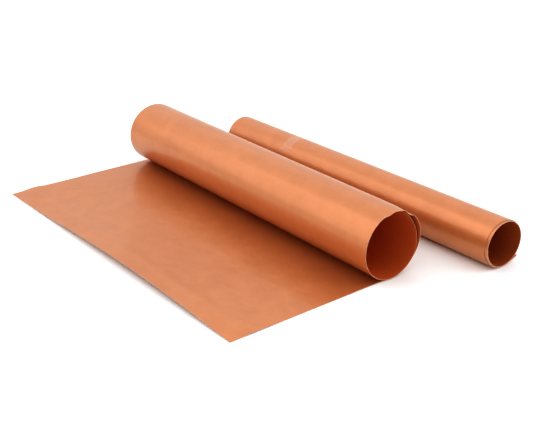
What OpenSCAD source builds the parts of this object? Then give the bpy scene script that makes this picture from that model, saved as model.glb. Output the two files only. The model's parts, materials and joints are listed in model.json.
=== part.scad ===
// Two rolled sheets of copper-coloured coated cloth, lying side by side on a table.
// The front sheet is partly unrolled: a flat leaf runs into a loose roll of one outer turn
// (the wrap) and an inner half turn (the coil). The rear sheet is rolled up tight and held
// with a strip of clear tape. Each sheet is a woven cloth with a coating on both faces.
// X runs along the rolls, -Y points to the free edge of the leaf, +Z is up, z = 0 is the table.

/* [Sheets] */
// Width of each sheet, along the rolls
sheet_w = 330; // [250:1:400]
// Thickness of the woven cloth
cloth_t = 0.10; // [0.08:0.01:0.12]
// Thickness of the coating on each face
coat_t = 0.05; // [0.03:0.01:0.06]

/* [Front roll] */
// Length of the flat leaf, from its free edge to the roll
leaf_l = 151; // [100:1:200]
// Outer radius of the front roll
front_r = 27.8; // [24:0.1:34]
// How far the end of the outer turn lies inside its start, at the bottom
wrap_drop = 0.5; // [0.4:0.1:3]
// Angle of the inner free edge, from the far side
coil_end = 60; // [40:1:110]

/* [Rear roll] */
// Outer radius of the rear roll
rear_r = 19.5; // [16:0.1:24]
// Distance from one turn of the rear roll to the next
rear_pitch = 0.45; // [0.4:0.01:0.6]
// Distance between the axes of the two rolls
axis_gap = 79.7; // [75:0.1:110]
// Shift of the rear roll along its axis
rear_shift = 40.5; // [0:0.5:80]
// Angle between the two rolls
rear_skew = 1.0; // [0:0.1:2]
// Radius of the curve of the sprung outer edge
flap_r = 39; // [30:1:60]
// Length of the outer edge that is free of the roll
flap_l = 17.5; // [12:0.5:20]

/* [Tape] */
// Width of the tape
tape_w = 12; // [8:1:20]
// Place of the tape along the rear roll, from its middle
tape_x = -79; // [-100:1:-60]
// Angle of the near end of the tape
tape_end = 148; // [120:1:149]
// Thickness of the film and of the adhesive
tape_t = 0.05; // [0.04:0.01:0.06]

/* [Hidden] */
$fn = 96;
sheet_t = cloth_t + 2 * coat_t;
// each layer of a sheet: depth below the outer face, thickness
outer_coat = [0, coat_t];
cloth = [coat_t, cloth_t];
inner_coat = [coat_t + cloth_t, coat_t];
turn_gap = 0.3;                      // air between two bodies
// footprint, centred on the origin
rear_reach_x = sheet_w / 2 * cos(rear_skew) + rear_r * sin(rear_skew);
rear_reach_y = sheet_w / 2 * sin(rear_skew) + rear_r * cos(rear_skew);
front_x = -(rear_shift + rear_reach_x - sheet_w / 2) / 2;
free_y = -(leaf_l + axis_gap + rear_reach_y) / 2;
front_y = free_y + leaf_l;
front_z = sheet_t + turn_gap + front_r;
rear_x = front_x + rear_shift;
rear_y = front_y + axis_gap;
coil_r = front_r - wrap_drop - sheet_t - turn_gap;
// rear roll: half turns about two centres, half a pitch apart in height
rear_turns = 6;                      // whole half turns
last_turn = 87;                      // degrees in the seventh
held_turn = flap_l / rear_r * 180 / PI;
held_w = sheet_w / 2 + tape_x + 45;  // stretch of the outer edge that the tape holds down
slit_w = 0.5;
// tape, just proud of the roll
tape_r = rear_r + 0.25 + 2 * tape_t;
tape_split = -30;                    // line at which the free strip peels
tape_foot = -62;
film = [0, tape_t];
glue = [tape_t, tape_t];

copper = [0.80, 0.46, 0.30];
copper_dark = [0.66, 0.33, 0.19];
glass_cloth = [0.55, 0.30, 0.17];
clear = [0.86, 0.86, 0.84, 0.4];
clear_glue = [0.90, 0.89, 0.82, 0.4];

// One layer of a sheet bent round a line along X, turning from angle a0 (0 is the far side,
// 90 the top). r is the radius of the sheet's outer face.
module bent(layer, r, a0, turn, x0, w) {
    translate([x0, 0, 0])
        rotate([90, 0, 90])
            rotate([0, 0, a0])
                rotate_extrude(angle = turn)
                    translate([r - layer[0] - layer[1], 0])
                        square([layer[1], w]);
}

// One layer of the flat leaf; its outer face is the one on the table
module leaf(layer) {
    translate([front_x - sheet_w / 2, free_y, layer[0]])
        cube([sheet_w, leaf_l, layer[1]]);
}

// One layer of the outer turn of the front roll: up the far side, then down the near side on
// a smaller radius, so that it ends inside its start
module wrap(layer) {
    translate([front_x, front_y, front_z]) {
        bent(layer, front_r, -90, 180, -sheet_w / 2, sheet_w);
        translate([0, 0, wrap_drop / 2])
            bent(layer, front_r - wrap_drop / 2, 90, 180, -sheet_w / 2, sheet_w);
    }
}

// One layer of the inner half turn of the front roll
module coil(layer) {
    translate([front_x, front_y, front_z])
        bent(layer, coil_r, -90, 90 + coil_end, -sheet_w / 2, sheet_w);
}

// The frame of the rear roll: its axis, a little askew to the front roll
module at_rear() {
    translate([rear_x, rear_y, rear_r])
        rotate([0, 0, rear_skew])
            children();
}

// One layer of the rear roll: six half turns, the start of a seventh, and the outer edge,
// which lies on the roll under the tape and springs open along the rest of its width
module rear(layer) {
    at_rear() {
        for (k = [0 : rear_turns - 1])
            translate([0, 0, k % 2 * rear_pitch / 2])
                bent(layer, rear_r - k * rear_pitch / 2, k % 2 == 0 ? 90 : -90, 180,
                     -sheet_w / 2, sheet_w);
        bent(layer, rear_r - rear_turns * rear_pitch / 2, 270, -last_turn, -sheet_w / 2, sheet_w);
        translate([0, 0, rear_pitch / 2])
            bent(layer, rear_r + rear_pitch / 2, -90, held_turn, -sheet_w / 2, held_w);
        translate([0, 0, flap_r - rear_r])
            bent(layer, flap_r, -90, flap_l / flap_r * 180 / PI,
                 -sheet_w / 2 + held_w + slit_w, sheet_w - held_w - slit_w);
    }
}

// One layer of the tape between two angles
module tape(layer, a0, a1) {
    at_rear()
        bent(layer, tape_r, a0, a1 - a0, tape_x - tape_w / 2, tape_w);
}

module leaf_cloth() {
    color(glass_cloth) leaf(cloth);
}
module leaf_top_coating() {
    color(copper) leaf(inner_coat);
}
module leaf_under_coating() {
    color(copper_dark) leaf(outer_coat);
}
module wrap_cloth() {
    color(glass_cloth) wrap(cloth);
}
module wrap_inner_coating() {
    color(copper_dark) wrap(inner_coat);
}
module wrap_outer_coating() {
    color(copper) wrap(outer_coat);
}
module coil_cloth() {
    color(glass_cloth) coil(cloth);
}
module coil_inner_coating() {
    color(copper) coil(inner_coat);
}
module coil_outer_coating() {
    color(copper_dark) coil(outer_coat);
}
module rear_cloth() {
    color(glass_cloth) rear(cloth);
}
module rear_inner_coating() {
    color(copper_dark) rear(inner_coat);
}
module rear_outer_coating() {
    color(copper) rear(outer_coat);
}
module tape_held_film() {
    color(clear) tape(film, tape_foot, tape_split);
}
module tape_held_adhesive() {
    color(clear_glue) tape(glue, tape_foot, tape_split);
}
module tape_free_film() {
    color(clear) tape(film, tape_split, tape_end);
}
module tape_free_adhesive() {
    color(clear_glue) tape(glue, tape_split, tape_end);
}

leaf_cloth();
leaf_top_coating();
leaf_under_coating();
wrap_cloth();
wrap_inner_coating();
wrap_outer_coating();
coil_cloth();
coil_inner_coating();
coil_outer_coating();
rear_cloth();
rear_inner_coating();
rear_outer_coating();
tape_held_film();
tape_held_adhesive();
tape_free_film();
tape_free_adhesive();
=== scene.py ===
import json
import math

import bpy
import numpy as np
from mathutils import Matrix, Vector


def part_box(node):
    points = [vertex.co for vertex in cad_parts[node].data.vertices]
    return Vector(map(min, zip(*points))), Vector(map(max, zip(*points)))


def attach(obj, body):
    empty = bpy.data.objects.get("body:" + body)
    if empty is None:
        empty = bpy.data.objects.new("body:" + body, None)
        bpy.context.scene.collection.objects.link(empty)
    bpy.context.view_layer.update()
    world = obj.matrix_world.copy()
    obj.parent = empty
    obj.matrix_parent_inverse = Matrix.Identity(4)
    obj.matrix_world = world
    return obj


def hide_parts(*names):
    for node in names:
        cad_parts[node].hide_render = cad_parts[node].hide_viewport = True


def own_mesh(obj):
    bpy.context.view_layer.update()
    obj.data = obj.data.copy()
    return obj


# Two rolled sheets of copper-coloured coated cloth: one partly unrolled, one held with clear tape.
# Each sheet is one bent surface with a real thickness, built as a grid: x runs across the sheet,
# s along it from its outer end inwards. The near end of a roll is its +x end, and the far side
# of a roll is its +y side. Angles round a roll are in degrees, 0 the far side and 90 the top.

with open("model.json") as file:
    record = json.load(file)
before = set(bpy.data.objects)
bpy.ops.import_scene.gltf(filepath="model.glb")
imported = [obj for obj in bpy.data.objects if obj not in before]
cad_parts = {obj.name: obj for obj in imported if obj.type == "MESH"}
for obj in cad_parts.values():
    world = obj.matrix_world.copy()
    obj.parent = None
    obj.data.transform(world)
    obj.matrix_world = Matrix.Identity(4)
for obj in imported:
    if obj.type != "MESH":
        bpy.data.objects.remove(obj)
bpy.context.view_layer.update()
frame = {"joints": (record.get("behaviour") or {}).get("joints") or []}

MM = 0.001
SHEET_T = 0.20 * MM
SHEET_W, SHEET_L = 0.330, 0.400
STEP = 1.6 * MM                    # spacing of the grid along a bent sheet
MIN_STEPS = 8
UV_PER_METRE = 10                  # so the materials' unit is 100 mm of flat sheet
SHARP_ANGLE = math.radians(50)


# ---------------------------------------------------------------- sizes from the frame

def span(node):
    lo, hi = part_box(node)
    return np.array(lo), np.array(hi)


leaf_lo, leaf_hi = span("leaf_under_coating")
wrap_hi = span("wrap_outer_coating")[1]
rear_lo, rear_hi = span("rear_outer_coating")
joints = {j["name"]: j for j in frame["joints"]}
peel_axis = joints["tape_peel"]["axis"]

FREE_Y, FRONT_Y = leaf_lo[1], leaf_hi[1]
FRONT_X = (leaf_lo[0] + leaf_hi[0]) / 2
LEAF_L = FRONT_Y - FREE_Y
FRONT_R = wrap_hi[1] - FRONT_Y
REAR_C = (rear_lo + rear_hi) / 2
REAR_R = rear_hi[2] / 2
# the tape peels about a line along the rear roll, which points to its far end
REAR_SKEW = math.atan2(peel_axis[1], peel_axis[0]) + math.pi


# ---------------------------------------------------------------- small maths

RIPPLE_TERMS = 7
RIPPLE_RATES = (0.6, 2.2)          # fewest and most waves in one size
RIPPLE_ACROSS = 0.6                # waves run longer across a sheet than along it
RIPPLE_FADE, RIPPLE_SUM = 0.4, 2.6


def ramp(v, a, b):
    """0 before a, 1 after b, smooth between."""
    t = np.clip((v - a) / (b - a), 0, 1)
    return t * t * (3 - 2 * t)


def hump(v, height, at, width):
    """A smooth rise and fall about one place."""
    return height * np.exp(-((v - at) / width) ** 2)


def fall(v, width, power):
    """From 1 at 0 down to 0 at width, fuller for a lower power."""
    return np.clip(1 - (v / width) ** 2, 0, 1) ** power


def ripple(x, s, seed, size):
    """A soft unevenness, mostly between -1 and 1, with waves of about the given size."""
    rng = np.random.default_rng(seed)
    out = np.zeros(np.broadcast(x, s).shape)
    for k in range(RIPPLE_TERMS):
        angle, phase = rng.uniform(0, 2 * math.pi, 2)
        wave = 2 * math.pi / size * rng.uniform(*RIPPLE_RATES)
        place = x * math.cos(angle) * RIPPLE_ACROSS + s * math.sin(angle)
        out += np.sin(wave * place + phase) / (1 + k * RIPPLE_FADE)
    return out / RIPPLE_SUM


def steps(length):
    return max(MIN_STEPS, round(length / STEP))


# ---------------------------------------------------------------- sheet meshes

def sheet_solid(name, middle, x, s, thickness, materials, core=0.7):
    """A closed solid round a grid of points: two coated faces, and cut edges whose middle band
    shows the cloth. middle is (across, along, 3); x and s give each point's place on the flat
    sheet; core is the middle band's share of the thickness."""
    nu, nv = middle.shape[:2]
    across = np.gradient(middle, axis=0)
    along = np.gradient(middle, axis=1)
    normal = np.cross(across, along)
    normal /= np.linalg.norm(normal, axis=2, keepdims=True)
    index = np.arange(nu * nv).reshape(nu, nv)
    rim = np.concatenate([index[:, 0], index[-1, 1:], index[-2::-1, -1], index[0, -2:0:-1]])

    def layer(offset):
        return (middle + normal * offset * thickness).reshape(-1, 3)

    top, bottom = layer(0.5), layer(-0.5)
    upper, lower = layer(core / 2)[rim], layer(-core / 2)[rim]
    verts = np.concatenate([top, bottom, upper, lower])
    flat = np.stack([np.broadcast_to(x, (nu, nv)), np.broadcast_to(s, (nu, nv))], 2)
    flat = flat.reshape(-1, 2) * UV_PER_METRE
    flat = np.concatenate([flat, flat, flat[rim], flat[rim]])

    # the quads of the two faces, then those of three bands round the rim
    q = np.stack([index[:-1, :-1], index[1:, :-1], index[1:, 1:], index[:-1, 1:]], -1)
    q = q.reshape(-1, 4)
    n = nu * nv
    after = np.roll(rim, -1)
    k = np.arange(len(rim))
    k2 = np.roll(k, -1)
    up0, low0 = 2 * n, 2 * n + len(rim)
    bands = [
        np.stack([up0 + k, up0 + k2, after, rim], -1),
        np.stack([low0 + k, low0 + k2, up0 + k2, up0 + k], -1),
        np.stack([n + rim, n + after, low0 + k2, low0 + k], -1),
    ]
    faces = np.concatenate([q, q[:, ::-1] + n, *bands])
    band_kinds = [np.full(len(rim), c) for c in (0, 2, 1)]
    kind = np.concatenate([np.zeros(len(q)), np.ones(len(q)), *band_kinds])

    mesh = bpy.data.meshes.new(name)
    mesh.vertices.add(len(verts))
    mesh.vertices.foreach_set("co", verts.astype(np.float32).ravel())
    mesh.loops.add(faces.size)
    mesh.loops.foreach_set("vertex_index", faces.astype(np.int32).ravel())
    mesh.polygons.add(len(faces))
    mesh.polygons.foreach_set("loop_start", np.arange(0, faces.size, 4, dtype=np.int32))
    for m in materials:
        mesh.materials.append(m)
    mesh.polygons.foreach_set("material_index", kind.astype(np.int32))
    uv = mesh.uv_layers.new(name="flat_sheet")
    uv.data.foreach_set("uv", flat[faces.ravel()].astype(np.float32).ravel())
    mesh.update(calc_edges=True)
    mesh.validate()
    mesh.polygons.foreach_set("use_smooth", np.ones(len(mesh.polygons), bool))
    mesh.set_sharp_from_angle(angle=SHARP_ANGLE)
    piece = bpy.data.objects.new(name, mesh)
    bpy.context.scene.collection.objects.link(piece)
    return piece


def around(x, angle, r, centre_y, centre_z):
    """Points at radius r and an angle round a line along x."""
    a = np.radians(angle)
    x, y, z = np.broadcast_arrays(x, centre_y + r * np.cos(a), centre_z + r * np.sin(a))
    return np.stack([x, y, z], -1)


# ---------------------------------------------------------------- the front sheet

ROLL_GAP = 0.1 * MM                # air between the leaf's end and the roll that starts on it
FRONT_Z = FRONT_R + SHEET_T + ROLL_GAP

LEAF_SKEW = math.radians(0.6)      # the leaf lies a little askew to its roll
LEAF_SLIP = -0.2 * MM              # and a little towards the far end
LEAF_CLEAR = 0.02 * MM             # air between the leaf and the table
LIFT = 5.6 * MM                    # height that the free edge lifts to
LIFT_AT = FRONT_X + 0.030          # where along x it is highest
LIFT_FAR = (0.175, 1.6)            # width and power of its fall to the far corner
LIFT_NEAR = (0.134, 0.95)          # and to the near one
CURL, CURL_POWER = 0.075, 1.8      # depth of the stretch that lifts, and the power of its fall
# small bends in the leaf: height, place, width
CORNER_FOLD = (0.9 * MM, 0.030, 0.010)     # the far corner was once folded
CORNER_SLANT = 1.3                 # the line of that fold: metres of x for one of depth
EDGE_BEND = (0.35 * MM, 0.017, 0.005)      # along the free edge, but for its far corner
SIDE_WAVE = (0.5 * MM, 0.026, 0.012)       # at the near side
BEND_FADE = 0.03                   # width over which those two fade
LEAF_WAVES = 0.28 * MM
LEAF_RIPPLE = (3, 0.09)            # seed and size, here and below
WAVES_FREE, WAVES_ROLL = 0.02, 0.03        # depth over which they fade at each end of the leaf

WRAP_WIDE = 0.6 * MM               # how much more the sagged roll reaches sideways than up
WRAP_DROP = 0.5 * MM               # how far its end lies inside its start
WRAP_DROPS = (250, 360)            # degrees of turn over which it drops
ROLL_SLIP = 1.5 * MM               # how far the rolled part has slid towards its near end
ROLL_SLIPS = (0, 110)              # degrees of turn over which it slides
BULGE_DEPTH, DIP_DEPTH = 0.060, 0.014      # how far along the roll each reaches from its near rim
RIM_BULGE = (0.8 * MM, 12, 22)     # height, angle, width
RIM_DIPS = (                       # depth, angle, width of two dips and the flat between them
    (1.7 * MM, 54, 8),
    (1.1 * MM, 102, 8),
    (0.5 * MM, 80, 25),
)
WRAP_WAVES = 0.14 * MM
WRAP_RIPPLE = (5, 0.11)
WAVES_IN, WAVES_OUT = (10, 60), (350, 300)     # degrees of turn over which they come and go

COIL_R = FRONT_R - 0.85 * MM       # leaves it room to spin inside the outer turn
COIL_START, COIL_END = -89.95, 60  # angles of the contact line and of the free edge
COIL_JOINS = (-90, -60)            # it comes in to that radius here
COIL_STRAIGHT = 1.05 * MM          # how far its free end stands off that radius
COIL_STRAIGHTENS = (0, 45)
COIL_BACK = 3.2 * MM               # how far that end lies back from the outer turn's near rim
COIL_GOES_BACK = (-40, 25)
COIL_WAVES = 0.03 * MM
COIL_RIPPLE = (8, 0.12)


def across_front():
    return np.linspace(leaf_lo[0], leaf_hi[0], steps(SHEET_W) // 2)[:, None]


def make_leaf(materials):
    x = across_front()
    reach = LEAF_L + (leaf_hi[0] - x) * math.sin(LEAF_SKEW)
    d = reach * np.linspace(0, 1, steps(LEAF_L))[None, :]      # distance from the free edge
    lift = LIFT * np.where(x < LIFT_AT, fall(LIFT_AT - x, *LIFT_FAR), fall(x - LIFT_AT, *LIFT_NEAR))
    z = lift * np.clip(1 - d / CURL, 0, 1) ** CURL_POWER
    corner = (x - leaf_lo[0]) + d * CORNER_SLANT
    z = z + hump(corner, *CORNER_FOLD)
    z = z + hump(d, *EDGE_BEND) * ramp(x, leaf_lo[0], leaf_lo[0] + BEND_FADE)
    z = z + hump(d, *SIDE_WAVE) * ramp(x, leaf_hi[0] - BEND_FADE, leaf_hi[0])
    waves = LEAF_WAVES * (1 + ripple(x, d, *LEAF_RIPPLE))
    z = z + waves * ramp(d, 0, WAVES_FREE) * ramp(reach - d, 0, WAVES_ROLL)
    z = z + SHEET_T / 2 + LEAF_CLEAR
    place_x = x + LEAF_SLIP + (reach - d) * math.sin(LEAF_SKEW)
    place_y = FRONT_Y - (reach - d) * math.cos(LEAF_SKEW)
    middle = np.stack(np.broadcast_arrays(place_x, place_y, z), -1)
    return sheet_solid("front_leaf_sheet", middle, x, LEAF_L - reach + d, SHEET_T, materials)


def make_wrap(materials):
    x = across_front()
    turn = np.linspace(0, 360, steps(2 * math.pi * FRONT_R))[None, :]
    angle = turn - 90
    s = LEAF_L + np.radians(turn) * FRONT_R
    wide, high = FRONT_R + WRAP_WIDE, FRONT_R
    a = np.radians(angle)
    r = wide * high / np.sqrt((high * np.cos(a)) ** 2 + (wide * np.sin(a)) ** 2)
    r = r - WRAP_DROP * ramp(turn, *WRAP_DROPS)
    # handling has bent the near rim: it bulges on the far side and dips beside a flat at the top
    rim = leaf_hi[0] - x
    r = r + ramp(rim, BULGE_DEPTH, 0) * hump(angle, *RIM_BULGE)
    r = r - ramp(rim, DIP_DEPTH, 0) * sum(hump(angle, *dip) for dip in RIM_DIPS)
    loose = ramp(turn, *WAVES_IN) * ramp(turn, *WAVES_OUT)
    r = r + WRAP_WAVES * ripple(x, s, *WRAP_RIPPLE) * loose
    x = x + LEAF_SLIP + (ROLL_SLIP - LEAF_SLIP) * ramp(turn, *ROLL_SLIPS)
    middle = around(x, angle, r - SHEET_T / 2, FRONT_Y, FRONT_Z)
    return sheet_solid("front_outer_turn", middle, x, s, SHEET_T, materials)


def make_coil(materials):
    x = across_front() + ROLL_SLIP
    along = steps(math.radians(COIL_END + 90) * COIL_R)
    angle = np.linspace(COIL_START, COIL_END, along)[None, :]
    s = LEAF_L + np.radians(angle + 90 + 360) * FRONT_R
    # it starts where the outer turn ends; its free end is straighter, and stands off that turn
    joined = ramp(angle, *COIL_JOINS)
    r = FRONT_R - WRAP_DROP + (COIL_R - FRONT_R + WRAP_DROP) * joined
    r = r - COIL_STRAIGHT * ramp(angle, *COIL_STRAIGHTENS)
    r = r + COIL_WAVES * ripple(x, s, *COIL_RIPPLE) * joined
    x = x - COIL_BACK * ramp(angle, *COIL_GOES_BACK)
    middle = around(x, angle, r - SHEET_T / 2, FRONT_Y, FRONT_Z)
    return sheet_solid("front_inner_turn", middle, x, s, SHEET_T, materials)


# ---------------------------------------------------------------- the rear roll and its tape

REAR_W = 0.325
REAR_SHIFT = 0.1 * MM              # along its axis
REAR_SWELL, REAR_FLARE = 0.1 * MM, 0.4 * MM    # added to its radius, and from end to end
REAR_AXIS_Y, REAR_DRIFT = -0.25 * MM, 0.7 * MM # place of its axis, and its drift from end to end
REAR_PITCH = 0.42 * MM
REAR_TURNS = 3.25
REAR_TURN_L = 2 * math.pi * REAR_R * 0.95      # an average turn is shorter than the outer one
REAR_WAVES = 0.03 * MM
REAR_RIPPLE = (11, 0.10)
RIPPLE_PER_TURN = 0.1              # how far one turn counts along those waves, in metres
FLAP_L = 18.5 * MM                 # length of the outer edge that is free of the roll
FLAP_R = 31 * MM                   # radius to which it springs open
FLAP_POINTS = 22
NEAR_OPEN = 0.150                  # from the middle of the roll to where it is fully open
FAR_OPEN, FAR_SHARE = 0.160, 0.4   # the same beyond the tape, where it opens only partly
RIM_TILT = 0.100                   # the near end of the roll isn't square: slope of its outer rim
RIM_TILT_INSIDE = 0.048            # and of the inner turns' rims
RIM_STEP = 1.7 * MM                # how far the inner turns stand out
INNER_TURNS = (0.8, 1.2)           # turns over which outer becomes inner

TAPE_W = 12 * MM
TAPE_T = 0.10 * MM
TAPE_X = -0.079                    # from the middle of the roll
TAPE_HOLDS = 0.010                 # it keeps the edge down this far to each side
TAPE_GAP = 0.12 * MM
TAPE_HINGE, TAPE_TOP, TAPE_FOOT = -30, 148, -62    # angles of its peel line and its two ends
TAPE_POINTS = 49                   # across it, enough to draw its teeth
TAPE_CORE = 0.1
TOOTH_W, TOOTH_L = 1.2 * MM, 0.7 * MM
TEETH_FROM = 0.8                   # share of a strip's length after which it is cut to teeth


def rear_radius(x):
    """The roll is wound a little looser towards its near end."""
    return REAR_R + REAR_SWELL + REAR_FLARE * x / REAR_W


def rear_axis_y(x):
    """Place of its axis across its own frame, a little to the front at its near end."""
    return REAR_AXIS_Y - REAR_DRIFT * x / REAR_W


def at_rear(points):
    """From the rear roll's own x and y, along and across it, into the frame's."""
    c, n = math.cos(REAR_SKEW), math.sin(REAR_SKEW)
    x, y = points[..., 0], points[..., 1]
    return np.stack([x * c - y * n + REAR_C[0], x * n + y * c + REAR_C[1], points[..., 2]], -1)


def make_rear(materials):
    u = np.linspace(-REAR_W / 2, REAR_W / 2, steps(REAR_W) // 2)[:, None]
    outer_r = rear_radius(u)
    # the outer edge: held down at the tape, sprung open towards the near end
    back = np.linspace(FLAP_L, 0, FLAP_POINTS)[None, :-1]
    near = ramp(u, TAPE_X + TAPE_HOLDS, NEAR_OPEN)
    far = ramp(-u, -TAPE_X + TAPE_HOLDS, FAR_OPEN)
    held = 1 - np.clip(near + FAR_SHARE * far, 0, 1)
    bend = held / outer_r + (1 - held) / FLAP_R
    mid_r = outer_r - SHEET_T / 2
    flap_y = np.sin(bend * back) / bend
    flap_z = (1 - np.cos(bend * back)) / bend - mid_r
    # the spiral, from the bottom towards the front roll, up and over
    turn = np.linspace(0, REAR_TURNS, steps(REAR_TURNS * REAR_TURN_L))[None, :]
    waves = REAR_WAVES * ripple(u, turn * RIPPLE_PER_TURN, *REAR_RIPPLE)
    r = mid_r - REAR_PITCH * turn + waves
    a = np.radians(-90 - 360 * turn)
    y = np.concatenate([flap_y, r * np.cos(a)], 1)
    z = np.concatenate([flap_z, r * np.sin(a)], 1) + outer_r
    # the turns have slid along each other, so the inner rims stand out at the near end
    inside = np.concatenate([np.zeros(back.shape), ramp(turn, *INNER_TURNS)], 1)
    tilt = RIM_TILT + (RIM_TILT_INSIDE - RIM_TILT) * inside
    x = u + REAR_SHIFT + RIM_STEP * inside + tilt * y * ramp(u, 0, REAR_W / 2)
    x, y, z = np.broadcast_arrays(x, y + rear_axis_y(u), z)
    s = np.concatenate([FLAP_L - back, FLAP_L + turn * REAR_TURN_L], 1)
    middle = at_rear(np.stack([x, y, z], -1))
    return sheet_solid("rear_rolled_sheet", middle, u, s, SHEET_T, materials)


def make_tape(name, start, end, materials):
    """A strip of tape on the rear roll between two angles, cut at its end by a toothed blade."""
    w = np.linspace(-TAPE_W / 2, TAPE_W / 2, TAPE_POINTS)[:, None]
    a = np.linspace(start, end, steps(math.radians(abs(end - start)) * REAR_R) + 1)[None, :]
    teeth = np.abs((w / TOOTH_W) % 1 - 0.5) * 2
    share = np.linspace(0, 1, a.shape[1])[None, :]
    reach = np.degrees(TOOTH_L / REAR_R) * teeth * np.sign(start - end)
    a = a + reach * ramp(share, TEETH_FROM, 1)
    x = TAPE_X + w
    r = rear_radius(x) + TAPE_GAP + TAPE_T / 2
    middle = at_rear(around(x, a, r, rear_axis_y(x), rear_radius(x)))
    along = np.radians(a) * REAR_R
    return sheet_solid(name, middle, x, along, TAPE_T, materials, core=TAPE_CORE)


# ---------------------------------------------------------------- materials

# each pair is the darker and the lighter colour of a material's clouds, grain or streaks
COPPER = (0.435, 0.153, 0.052), (0.638, 0.248, 0.093)
# painted bounce light: the inner faces of the front roll get a redder, brighter copy of the copper,
# standing in for light that has bounced about inside the tube
COPPER_PAINTED_BOUNCE = (0.74, 0.200, 0.055), (0.80, 0.230, 0.070)
# painted shade: the inner face of the rear roll gets a darker, redder copy of the copper, standing
# in for the shade inside the tight roll
COPPER_PAINTED_SHADE = (0.50, 0.135, 0.036), (0.56, 0.158, 0.046)
# the cut edge: pale thread ends, made brighter still as a painted highlight along the rims
THREAD_ENDS_AND_HIGHLIGHT = (0.88, 0.50, 0.32), (1.0, 0.68, 0.48)
TAPE_TINTS = (0.93, 0.72, 0.62), (1.0, 0.90, 0.84)
FLOOR_COLOUR = (0.93, 0.93, 0.93, 1)

WEAVE_SCALE = 62.8                 # puts a wave node's bands 0.5 mm apart, one to a thread


class Nodes:
    """A material's node tree, with short calls to add and join nodes."""

    def __init__(self, name):
        self.material = bpy.data.materials.new(name)
        self.material.use_nodes = True
        self.tree = self.material.node_tree
        self.shader = self.tree.nodes["Principled BSDF"]

    def add(self, kind, **values):
        node = self.tree.nodes.new(kind)
        for key, value in values.items():
            if key in node.inputs:
                node.inputs[key].default_value = value
            else:
                setattr(node, key, value)
        return node

    def join(self, source, target):
        self.tree.links.new(source, target)


def flat_place(n):
    """The point on the flat sheet, in units of 100 mm."""
    return n.add("ShaderNodeTexCoord").outputs["UV"]


def mixed(n, factor, a, b):
    node = n.add("ShaderNodeMix", data_type="RGBA")
    node.inputs["A"].default_value = (*a, 1)
    node.inputs["B"].default_value = (*b, 1)
    n.join(factor, node.inputs["Factor"])
    return node.outputs["Result"]


def copper_coating(name, dark, light):
    """A satin metallic coating, clouded between two colours."""
    n = Nodes(name)
    place = flat_place(n)
    cloud = n.add("ShaderNodeTexNoise", Scale=4.0, Detail=9.0, Roughness=0.78, Distortion=0.4)
    n.join(place, cloud.inputs["Vector"])
    n.join(mixed(n, cloud.outputs["Fac"], dark, light), n.shader.inputs["Base Color"])

    # roughness drifts in soft patches
    patch = n.add("ShaderNodeTexNoise", Scale=9.0, Detail=5.0, Roughness=0.6)
    n.join(place, patch.inputs["Vector"])
    rough = n.add("ShaderNodeMapRange")
    rough.inputs["To Min"].default_value = 0.32
    rough.inputs["To Max"].default_value = 0.44
    n.join(patch.outputs["Fac"], rough.inputs["Value"])
    n.join(rough.outputs["Result"], n.shader.inputs["Roughness"])

    # the weave of the cloth prints through the coating, over a broad, faint unevenness
    threads = []
    for direction in ("X", "Y"):
        wave = n.add("ShaderNodeTexWave", bands_direction=direction, Scale=WEAVE_SCALE)
        n.join(place, wave.inputs["Vector"])
        threads.append(wave.outputs["Fac"])
    weave = n.add("ShaderNodeMath", operation="MULTIPLY")
    n.join(threads[0], weave.inputs[0])
    n.join(threads[1], weave.inputs[1])
    fine = n.add("ShaderNodeBump", Strength=0.30, Distance=0.02 * MM)
    n.join(weave.outputs["Value"], fine.inputs["Height"])
    wavy = n.add("ShaderNodeTexNoise", Scale=7.0, Detail=3.0, Roughness=0.5)
    n.join(place, wavy.inputs["Vector"])
    broad = n.add("ShaderNodeBump", Strength=0.65, Distance=0.6 * MM)
    n.join(wavy.outputs["Fac"], broad.inputs["Height"])
    n.join(fine.outputs["Normal"], broad.inputs["Normal"])
    n.join(broad.outputs["Normal"], n.shader.inputs["Normal"])

    n.shader.inputs["Metallic"].default_value = 0.5
    n.shader.inputs["IOR"].default_value = 1.75
    n.shader.inputs["Coat Weight"].default_value = 0.25
    n.shader.inputs["Coat Roughness"].default_value = 0.08
    return n.material


def cut_cloth_and_highlight():
    """The cut edge: pale ends of the threads between the coatings, painted brighter still as a
    highlight along the rims.
    """
    n = Nodes("cut_cloth_and_highlight")
    grain = n.add("ShaderNodeTexNoise", Scale=160.0, Detail=2.0)
    n.join(flat_place(n), grain.inputs["Vector"])
    n.join(mixed(n, grain.outputs["Fac"], *THREAD_ENDS_AND_HIGHLIGHT), n.shader.inputs["Base Color"])
    n.shader.inputs["Roughness"].default_value = 0.7
    return n.material


def clear_tape():
    """Glossy film that hardly hides the coating under it."""
    n = Nodes("clear_tape")
    streak = n.add("ShaderNodeTexNoise", Scale=30.0, Detail=3.0)
    n.join(flat_place(n), streak.inputs["Vector"])
    n.join(mixed(n, streak.outputs["Fac"], *TAPE_TINTS), n.shader.inputs["Base Color"])
    n.shader.inputs["Roughness"].default_value = 0.22
    n.shader.inputs["Alpha"].default_value = 0.07
    return n.material


# ---------------------------------------------------------------- put it together

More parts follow.
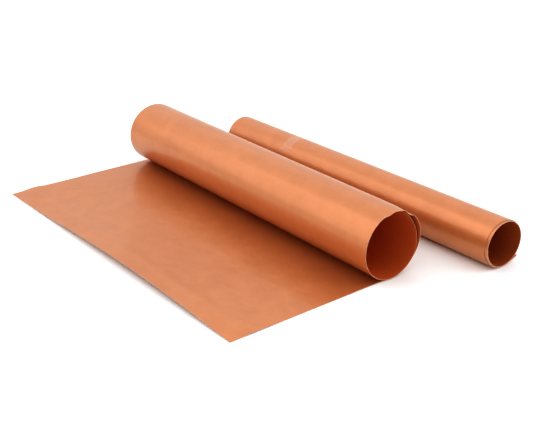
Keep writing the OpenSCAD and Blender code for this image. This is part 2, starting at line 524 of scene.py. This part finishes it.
def build():
    outer = copper_coating("copper_face", *COPPER)
    inner = copper_coating("copper_back", *COPPER)
    # painted bounce light: a redder, brighter copy of the copper for the front roll's inner faces
    inside = copper_coating("copper_inside_painted_bounce", *COPPER_PAINTED_BOUNCE)
    # painted shade: a darker, redder copy of the copper for the rear roll's inner face
    rear_inside_shade = copper_coating("copper_rear_inside_painted_shade", *COPPER_PAINTED_SHADE)
    cloth = cut_cloth_and_highlight()
    sheet, tube, tight = [inner, outer, cloth], [inside, outer, cloth], [outer, rear_inside_shade, cloth]
    tape = [clear_tape()] * 3

    leaf = make_leaf(sheet)
    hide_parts("leaf_cloth", "leaf_top_coating", "leaf_under_coating")
    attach(leaf, "leaf")
    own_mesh(leaf)

    wrap = make_wrap(tube)
    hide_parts("wrap_cloth", "wrap_inner_coating", "wrap_outer_coating")
    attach(wrap, "front_wrap")

    coil = make_coil(tube)
    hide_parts("coil_cloth", "coil_inner_coating", "coil_outer_coating")
    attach(coil, "front_coil")

    rear = make_rear(tight)
    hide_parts("rear_cloth", "rear_inner_coating", "rear_outer_coating")
    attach(rear, "rear_roll")

    strip = make_tape("tape_strip_free", TAPE_HINGE, TAPE_TOP, tape)
    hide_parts("tape_free_film", "tape_free_adhesive")
    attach(strip, "tape_strip")
    foot = make_tape("tape_strip_held", TAPE_HINGE, TAPE_FOOT, tape)
    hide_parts("tape_held_film", "tape_held_adhesive")
    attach(foot, "rear_roll")


# ---------------------------------------------------------------- floor, lights and camera

FLOOR_HALF = 6.0
WORLD_STRENGTH = 0.72

# name, direction it shines from, distance, width, power in watts
SOFTBOXES = (
    ("overhead", (-0.2, 0.2, 1.0), 1.8, 4.0, 10.4),
    ("front", (-0.55, -0.75, 0.75), 1.8, 2.0, 7.0),
    ("back_right", (0.50, 0.80, 0.35), 2.2, 2.4, 17.0),
)

# fitted to the outlines of the leaf and both rolls; angles in degrees, lens in millimetres
CAMERA_TARGET = Vector((-0.0012, 0.0202, 0.0))
CAMERA_AZIMUTH, CAMERA_ELEVATION, CAMERA_ROLL = 51.74, 23.93, 0.25
CAMERA_DISTANCE = 0.8469
CAMERA_SENSOR, CAMERA_LENS = 36, 66.47
CAMERA_CLIP = (0.01, 50)


def make_floor():
    n = Nodes("white_floor")
    n.shader.inputs["Base Color"].default_value = FLOOR_COLOUR
    n.shader.inputs["Roughness"].default_value = 0.9
    n.shader.inputs["Specular IOR Level"].default_value = 0.1
    mesh = bpy.data.meshes.new("floor")
    r = FLOOR_HALF
    mesh.from_pydata([(-r, -r, 0), (r, -r, 0), (r, r, 0), (-r, r, 0)], [], [(0, 1, 2, 3)])
    mesh.materials.append(n.material)
    floor = bpy.data.objects.new("floor", mesh)
    bpy.context.scene.collection.objects.link(floor)


def make_world():
    world = bpy.data.worlds.new("studio")
    world.use_nodes = True
    background = world.node_tree.nodes["Background"]
    background.inputs["Color"].default_value = (1, 1, 1, 1)
    background.inputs["Strength"].default_value = WORLD_STRENGTH
    bpy.context.scene.world = world


def make_light(name, direction, distance, size, power):
    lamp = bpy.data.lights.new(name, "AREA")
    lamp.shape, lamp.size, lamp.energy = "DISK", size, power
    light = bpy.data.objects.new(name, lamp)
    light.location = Vector(direction).normalized() * distance
    light.rotation_mode = "QUATERNION"
    light.rotation_quaternion = light.location.to_track_quat("Z", "Y")
    light.visible_camera = False
    bpy.context.scene.collection.objects.link(light)


def make_camera():
    angles = (CAMERA_AZIMUTH, CAMERA_ELEVATION, CAMERA_ROLL)
    az, el, roll = (math.radians(v) for v in angles)
    back = Vector((math.sin(az) * math.cos(el), -math.cos(az) * math.cos(el), math.sin(el)))
    level = Vector((math.cos(az), math.sin(az), 0))
    upright = back.cross(level)
    right = level * math.cos(roll) + upright * math.sin(roll)
    up = upright * math.cos(roll) - level * math.sin(roll)
    data = bpy.data.cameras.new("camera")
    data.sensor_width, data.lens = CAMERA_SENSOR, CAMERA_LENS
    data.clip_start, data.clip_end = CAMERA_CLIP
    camera = bpy.data.objects.new("camera", data)
    place = Matrix.Translation(CAMERA_TARGET + back * CAMERA_DISTANCE)
    camera.matrix_world = place @ Matrix((right, up, back)).transposed().to_4x4()
    bpy.context.scene.collection.objects.link(camera)
    bpy.context.scene.camera = camera


build()
make_floor()
make_world()
for softbox in SOFTBOXES:
    make_light(*softbox)
make_camera()
bpy.context.scene.view_settings.view_transform = "Standard"
bpy.context.scene.view_settings.look = "High Contrast"
